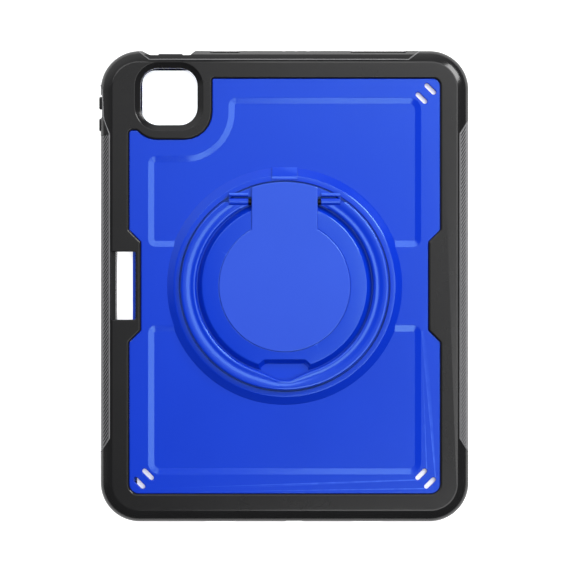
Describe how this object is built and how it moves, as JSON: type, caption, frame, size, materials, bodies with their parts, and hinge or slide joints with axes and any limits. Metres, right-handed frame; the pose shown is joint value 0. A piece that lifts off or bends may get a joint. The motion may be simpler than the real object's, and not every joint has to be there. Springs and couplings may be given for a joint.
{
  "type": "tablet case",
  "caption": "Rugged tablet case: soft bumper, hard back shell, removable front frame, and a swivelling ring stand that hinges out.",
  "frame": {"origin": "middle of the case's footprint, on the surface that the case lies on, screen side down", "axes": "+Z out of the back, +Y towards the camera end, +X to the right for someone looking at the back"},
  "size_m": [0.2087, 0.266, 0.0177],
  "materials": {
    "frame_black": "fine matte, moulded polycarbonate",
    "film_clear": "clear hard film",
    "tape_black": "adhesive foam tape",
    "bumper_black": "soft matte TPU",
    "shell_blue": "fine matte, moulded polycarbonate",
    "grip_black": "ribbed soft TPU",
    "lining_grey": "thin microfibre lining",
    "stand_blue": "fine matte, moulded polycarbonate",
    "cap_blue": "fine matte, moulded polycarbonate",
    "ring_blue": "satin, moulded polycarbonate",
    "steel": "rolled and stamped",
    "button_black": "soft matte TPU"
  },
  "bodies": {
    "front_frame": {"front_frame": "frame_black", "screen_film": "film_clear", "film_tape": "tape_black"},
    "shell": {"bumper": "bumper_black", "back_shell": "shell_blue", "left_grip": "grip_black", "right_grip": "grip_black", "lining_pad": "lining_grey", "index_tab": "shell_blue", "friction_washer": "steel"},
    "turntable": {"turntable": "stand_blue", "stand_cap": "cap_blue", "retaining_ring": "steel", "retaining_screws": "steel", "hinge_pins": "steel", "hinge_washers": "steel"},
    "ring_handle": {"ring_handle": "ring_blue"},
    "volume_up_button": {"volume_up_button": "button_black"},
    "volume_down_button": {"volume_down_button": "button_black"},
    "power_button": {"power_button": "button_black"}
  },
  "joints": [
    {"name": "shell_release", "type": "slide", "parent": "front_frame", "child": "shell", "axis": [0, 0, 1], "range_m": [0, 0.03]},
    {"name": "stand_swivel", "type": "hinge", "parent": "shell", "child": "turntable", "pos_m": [0, 0, 0.0125], "axis": [0, 0, 1], "continuous": true},
    {"name": "ring_hinge", "type": "hinge", "parent": "turntable", "child": "ring_handle", "pos_m": [0, 0.0472, 0.0156], "axis": [-1, 0, 0], "range_deg": [0, 110]},
    {"name": "volume_up_press", "type": "slide", "parent": "shell", "child": "volume_up_button", "axis": [1, 0, 0], "range_m": [0, 0.0006], "stiffness_N_per_m": 400, "springref_m": -0.002},
    {"name": "volume_down_press", "type": "slide", "parent": "shell", "child": "volume_down_button", "axis": [1, 0, 0], "range_m": [0, 0.0006], "stiffness_N_per_m": 400, "springref_m": -0.002},
    {"name": "power_press", "type": "slide", "parent": "shell", "child": "power_button", "axis": [0, -1, 0], "range_m": [0, 0.0006], "stiffness_N_per_m": 400, "springref_m": -0.002}
  ]
}
